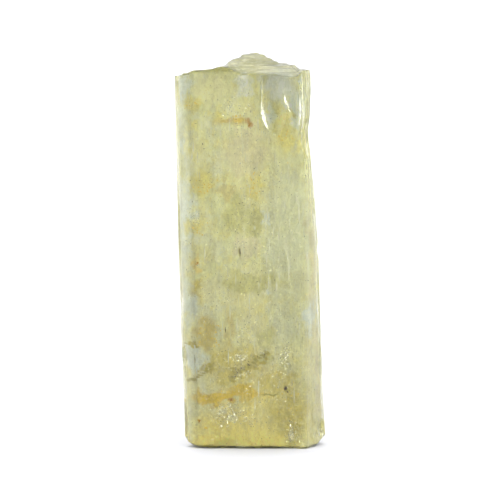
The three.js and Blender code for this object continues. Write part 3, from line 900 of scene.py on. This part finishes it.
# Masks from noise: its stretch, scale, detail and roughness, then where the mask begins and is full, and its
# value at each
MASKS = {
    "cream": ((1, 1, 0.45), 0.28, 3, 0.5, 0.35, 0.65, 0, 1),
    "cloud": ((1, 1, 0.6), 0.42, 5, 0.6, 0.47, 0.64, 0, 1),
    "tinge": ((1, 1, 0.7), 1.3, 5, 0.62, 0.46, 0.68, 0, 0.75),
    "streak": ((4, 4, 0.2), 1, 4, 0.75, 0.56, 0.66, 0, 0.85),
    "furrow": ((5, 5, 0.25), 1, 4, 0.75, 0.44, 0.36, 0, 0.75),
    "patchy": ((1, 1, 1), 1.6, 4, 0.65, 0.34, 0.56, 0.75, 1),
    "layers": ((0.3, 0.3, 2.4), 1, 4, 0.6, 0.42, 0.58, 0.25, 0.95),
    "rust": ((1, 1, 1), 0.33, 4, 0.6, 0.56, 0.68, 0, 0.75),
    "speck": ((1, 1, 1), 6.5, 2, 0.6, 0.63, 0.7, 0, 1),
    "specked": ((1, 1, 1), 0.8, 3, 0.6, 0.48, 0.62, 0, 0.8),
    "grainy": ((1, 1, 1), 0.7, 3, 0.6, 0.42, 0.6, 0.3, 1),
    "light grain": ((1, 1, 0.7), 6, 2, 0.6, 0.56, 0.62, 0, 0.2),
    "dark grain": ((1, 1, 0.6), 6.5, 2, 0.6, 0.4, 0.34, 0, 0.16),
    "soft mottle": ((1.3, 1.3, 0.5), 0.9, 7, 0.68, 0.34, 0.66, 0.85, 1.07),
    "fine mottle": ((1.3, 1.3, 0.55), 3.8, 4, 0.7, 0.36, 0.64, 0.92, 1.06),
    "beryl": ((1, 1, 1), 0.5, 4, 0.6, 0.35, 0.65, 0, 1),
}
# Changes from one place to another: where each begins and ends, and its value there
CLOUDY_LEFT = (2.5, -6.0, 0.2, 0.9)
STREAKY_RIGHT = (-2.0, 2.5, 0.3, 1.0)
TOP = (37.9, 38.5)
BEHIND = (-4.5, -2.5)
LIGHTER_UP = (3, 36, 0.95, 1.09)
# Painted light: the core's colour grows brighter towards the root, standing in for light thrown up from the
# floor
PAINTED_LIGHT_AT_ROOT = (3.0, 0, 0.95, 1.26)

# Wandering cracks: their noise's scale, stretch along z and strength
PALE_CRACKS = (1.5, 0.6, 0.7)
BROWN_CRACKS = (0.9, 0.5, 0.4)
CRACK_WIDTH = 0.014  # how close to the middle of that noise a crack runs
GRAIN_TONE = 0.97  # the colour's brightness between the light and the dark grain
MOTTLE_BLUE = 0.93  # how much of the mottle's blue is left, so that the light parts stay golden


class Nodes:
    """A node tree, with short calls that add a node and give its output."""

    def __init__(self, tree):
        self.nodes, self.links = tree.nodes, tree.links

    def join(self, value, socket):
        if isinstance(value, bpy.types.NodeSocket):
            self.links.new(value, socket)
        elif value is not None:
            socket.default_value = value

    def add(self, kind, *values, out=0, **settings):
        node = self.nodes.new("ShaderNode" + kind)
        for key, setting in settings.items():
            setattr(node, key, setting)
        for value, socket in zip(values, node.inputs):
            self.join(value, socket)
        return node.outputs[out]

    def maths(self, operation, a, b=None):
        return self.add("Math", a, b, operation=operation)

    def times(self, a, b):
        return self.maths("MULTIPLY", a, b)

    def vector(self, operation, *values, out=0):
        return self.add("VectorMath", *values, out=out, operation=operation)

    def ramp(self, value, low, high, to_low=0.0, to_high=1.0):
        return self.add(
            "MapRange", value, float(low), float(high), float(to_low), float(to_high),
            interpolation_type="SMOOTHSTEP")

    def mix(self, share, a, b, blend="MIX"):
        node = self.nodes.new("ShaderNodeMix")
        node.data_type = "RGBA"
        node.blend_type = blend
        for value, socket in ((share, 0), (a, 6), (b, 7)):  # its sockets for colours
            self.join(value, node.inputs[socket])
        return node.outputs[2]


class Finish(Nodes):
    """A material: its nodes, and its Principled shader."""

    def __init__(self, name):
        self.material = bpy.data.materials.new(name)
        self.material.use_nodes = True
        super().__init__(self.material.node_tree)
        self.shader = self.nodes["Principled BSDF"]

    def set(self, **values):
        for key, value in values.items():
            self.join(value, self.shader.inputs[key.replace("_", " ")])

    def place(self, scale=(1, 1, 1)):
        """Where a point is, in mm, stretched by scale."""
        where = self.add("TexCoord", out=3)  # the object's own coordinates
        return self.vector("MULTIPLY", where, [s / MM for s in scale])

    def noise(self, where, scale, detail=2.0, roughness=0.5):
        return self.add("TexNoise", where, None, scale, detail, roughness)

    def mask(self, name):
        stretch, scale, detail, roughness, *change = MASKS[name]
        return self.ramp(self.noise(self.place(stretch), scale, detail, roughness), *change)

    def blobs(self, where, places):
        """How near a point is to any ellipsoid at the front face: x, z, half width, half height."""
        mask = None
        for x, z, wide, tall in places:
            away = self.vector("SUBTRACT", where, (x, FRONT_Y, z))
            away = self.vector("MULTIPLY", away, (1 / wide, 1 / STAIN_DEPTH, 1 / tall))
            near = self.ramp(self.vector("LENGTH", away, out=1), *BLOB_EDGE)
            mask = near if mask is None else self.maths("MAXIMUM", mask, near)
        return mask

    def cracks(self, where, scale, stretch, strength):
        """Thin wandering lines, in patches."""
        ridge = self.noise(self.place((1, 1, stretch)), scale, detail=5, roughness=0.6)
        ridge = self.maths("ABSOLUTE", self.maths("SUBTRACT", ridge, 0.5))
        patch = self.ramp(self.noise(where, 0.4 * scale), 0.45, 0.6, 0, strength)
        return self.times(self.ramp(ridge, CRACK_WIDTH, 0.0), patch)

    def bump(self, height, strength, depth):
        node = self.nodes.new("ShaderNodeBump")
        for key, value in (("Strength", strength), ("Distance", depth * MM), ("Height", height)):
            self.join(value, node.inputs[key])
        self.set(Normal=node.outputs[0])


def stains_and_painted_reflection(f, where, x, y, z):
    """The crystal's colours: pale greenish yellow with veils, stains where iron has seeped in, and a painted
    reflection at the top.
    """
    wander = f.add("TexNoise", where, None, *WANDER, out=1)
    wander = f.vector("SUBTRACT", wander, (0.5, 0.5, 0.5))
    near = f.vector("MULTIPLY_ADD", wander, STAIN_WANDER, where)
    nearby = f.vector("MULTIPLY_ADD", wander, SPOT_WANDER, where)
    streaky = f.ramp(x, *STREAKY_RIGHT)
    colour = f.mix(f.mask("cream"), GREENISH, CREAM)
    colour = f.mix(f.times(f.mask("cloud"), f.ramp(x, *CLOUDY_LEFT)), colour, VEIL)
    colour = f.mix(f.mask("tinge"), colour, TINGE)
    colour = f.mix(f.times(f.mask("streak"), streaky), colour, VEIL)
    colour = f.mix(f.times(f.mask("furrow"), streaky), colour, OLIVE)
    colour = f.mix(f.cracks(where, *PALE_CRACKS), colour, PALE)
    patchy = f.mask("patchy")
    for tint, strength, places in STAINS_AND_PAINTED_REFLECTION:
        share = f.times(f.blobs(near, places), f.times(patchy, strength))
        colour = f.mix(share, colour, tint)
    for tint, strength, places in SPOTS:
        colour = f.mix(f.times(f.blobs(nearby, places), strength), colour, tint)
    colour = f.mix(f.times(f.ramp(z, *TOP), f.mask("layers")), colour, OLIVE)
    colour = f.mix(f.times(f.mask("rust"), f.ramp(y, *BEHIND)), colour, OCHRE)
    colour = f.mix(f.times(f.mask("speck"), f.mask("specked")), colour, BROWN)
    colour = f.mix(f.cracks(where, *BROWN_CRACKS), colour, BROWN)
    grain = f.maths("SUBTRACT", f.mask("light grain"), f.mask("dark grain"))
    grain = f.times(grain, f.mask("grainy"))
    return f.mix(1.0, colour, f.maths("ADD", grain, GRAIN_TONE), "MULTIPLY")


# ---- Materials ----

BERYL_IOR = 1.575
BERYL_VOLUME = ((0.92, 0.9, 0.4, 1), 8.0)  # the colour of the light that it lets through, and its density


def cloudy():
    """The cloudy inside: half of the light goes on through, and the rest is scattered back."""
    f = Finish("golden_beryl_cloudy")
    where = f.place()
    x, y, z = (f.add("SeparateXYZ", where, out=axis) for axis in range(3))
    colour = stains_and_painted_reflection(f, where, x, y, z)
    mottle = f.times(f.mask("soft mottle"), f.mask("fine mottle"))
    # Lighter upwards, and brighter near the root with painted light from the floor
    mottle = f.times(mottle, f.maths("MAXIMUM", f.ramp(z, *LIGHTER_UP), f.ramp(z, *PAINTED_LIGHT_AT_ROOT)))
    tone = f.add("CombineXYZ", mottle, mottle, f.times(mottle, MOTTLE_BLUE))
    colour = f.mix(1.0, colour, tone, "MULTIPLY")
    f.set(Base_Color=colour, Roughness=0.55, IOR=1.4, Transmission_Weight=0.5, Specular_IOR_Level=0.0)
    f.bump(f.noise(where, scale=2.2, detail=6, roughness=0.7), strength=0.8, depth=0.3)
    return f.material


def beryl(name, roughness, cloudiness=0.008, shade=(253, 254, 251), light=(252, 252, 246)):
    """Golden beryl: see-through, with fine striations along it."""
    f = Finish(name)
    colour = f.mix(f.mask("beryl"), srgb(*shade), srgb(*light))
    f.set(Base_Color=colour, Roughness=roughness, IOR=BERYL_IOR, Transmission_Weight=1 - cloudiness)
    grooves = f.noise(f.place((5, 5, 0.22)), scale=1, detail=4, roughness=0.65)
    pits = f.noise(f.place(), scale=3.2, detail=4, roughness=0.6)
    f.bump(f.maths("ADD", grooves, f.times(pits, 0.5)), strength=0.35, depth=0.06)
    f.join(f.add("VolumeAbsorption", *BERYL_VOLUME), f.nodes["Material Output"].inputs["Volume"])
    return f.material


def grown_face():
    return beryl("golden_beryl", roughness=0.04)


def fresh_break():
    return beryl("golden_beryl_fresh_break", roughness=0.05)


def broken_end():
    return beryl("golden_beryl_broken_end", 0.1, 0.08, shade=(177, 179, 148), light=(201, 202, 175))


def grains(name, dark, light, roughness=0.5):
    f = Finish(name)
    colour = f.mix(f.noise(f.place(), scale=6, detail=3), srgb(*dark), srgb(*light))
    f.set(Base_Color=colour, Roughness=roughness, Specular_IOR_Level=0.0)
    return f.material


def ochre_stain():
    return grains("ochre_stain", dark=(238, 212, 90), light=(248, 230, 140))


def rust_brown():
    return grains("rust_brown", dark=(176, 124, 2), light=(204, 158, 12))


def dark_mineral():
    return grains("dark_mineral", dark=(40, 28, 0), light=(108, 84, 6), roughness=0.4)


def white_veil():
    return grains("white_veil", dark=(226, 227, 190), light=(247, 247, 224), roughness=0.6)


def shining_crack_and_highlight():
    """A crack with air in it, which throws back most of the light; it also makes the ribbons of painted
    highlight mirror-bright.
    """
    f = Finish("shining_crack_and_highlight")
    tone = f.mix(f.noise(f.place(), scale=3, detail=3), srgb(248, 248, 226), srgb(216, 213, 168))
    f.set(Base_Color=tone, Roughness=0.1, Metallic=1.0)
    return f.material


# ---- Stage, light and camera ----

FLOOR_SIZE = 3  # metres
FLOOR_COLOUR = (0.5, 0.505, 0.54, 1)
TENT = 2.4  # the strength of the white tent's light
# Where the tent is brighter or darker: from and to which share of the way to a side, and how bright. The
# front is the back with shares below 0.
TENT_PARTS = [("aside", 0.45, 0.85, 2.8), ("back", 0.45, 0.85, 1.1), ("back", -0.82, -0.95, 0.5)]
OVERHEAD = 1.0
OVERHEAD_SPREAD = math.radians(50)
OVERHEAD_TILT = math.radians(-22)  # so that it comes a little from behind

PICTURE = 500  # pixels, both ways
PIXEL = 0.1024  # mm across one pixel of the picture, at the crystal
LENS = 250  # mm
ELEVATION = math.radians(6)
AIM = (-0.05, 19.72)  # the x and z that the camera points at
NEAREST = 0.01  # metres
# Enough for light to cross the clear skin and come back out of it
BOUNCES = {"max_bounces": 24, "diffuse_bounces": 8, "glossy_bounces": 12, "transmission_bounces": 24}


def stage():
    bpy.ops.mesh.primitive_plane_add(size=FLOOR_SIZE)
    floor = bpy.context.object
    floor.name = "floor"
    f = Finish("white_floor")
    f.set(Base_Color=FLOOR_COLOUR, Roughness=0.6)
    floor.data.materials.append(f.material)


def tent():
    world = bpy.data.worlds.new("white_tent")
    world.use_nodes = True
    w = Nodes(world.node_tree)
    direction = w.add("TexCoord")
    sides = {
        "aside": w.maths("ABSOLUTE", w.add("SeparateXYZ", direction, out=0)),
        "back": w.add("SeparateXYZ", direction, out=1),
    }
    strength = TENT
    for side, start, end, glow in TENT_PARTS:
        strength = w.maths("ADD", w.ramp(sides[side], start, end, 0, glow - TENT), strength)
    background = w.nodes["Background"]
    w.join(strength, background.inputs["Strength"])
    w.join((1, 1, 1, 1), background.inputs["Color"])
    bpy.context.scene.world = world


def overhead_light():
    data = bpy.data.lights.new("overhead", "SUN")
    data.angle = OVERHEAD_SPREAD
    data.energy = OVERHEAD
    new_object("overhead", data).rotation_euler = (OVERHEAD_TILT, 0, 0)


def camera():
    data = bpy.data.cameras.new("camera")
    data.lens = LENS
    data.clip_start = NEAREST
    cam = new_object("camera", data)
    distance = PICTURE * PIXEL * LENS / data.sensor_width * MM
    x, z = (v * MM for v in AIM)
    cam.location = (x, -distance * math.cos(ELEVATION), z + distance * math.sin(ELEVATION))
    cam.rotation_euler = (math.pi / 2 - ELEVATION, 0, 0)
    bpy.context.scene.camera = cam


for kind, bounces in BOUNCES.items():
    setattr(bpy.context.scene.cycles, kind, bounces)
camera()
stage()
tent()
overhead_light()
bpy.context.scene.view_settings.view_transform = "Standard"
clear, shift = crystal()
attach(clear, "root")
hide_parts(CRYSTAL)
inclusions(clear, shift)
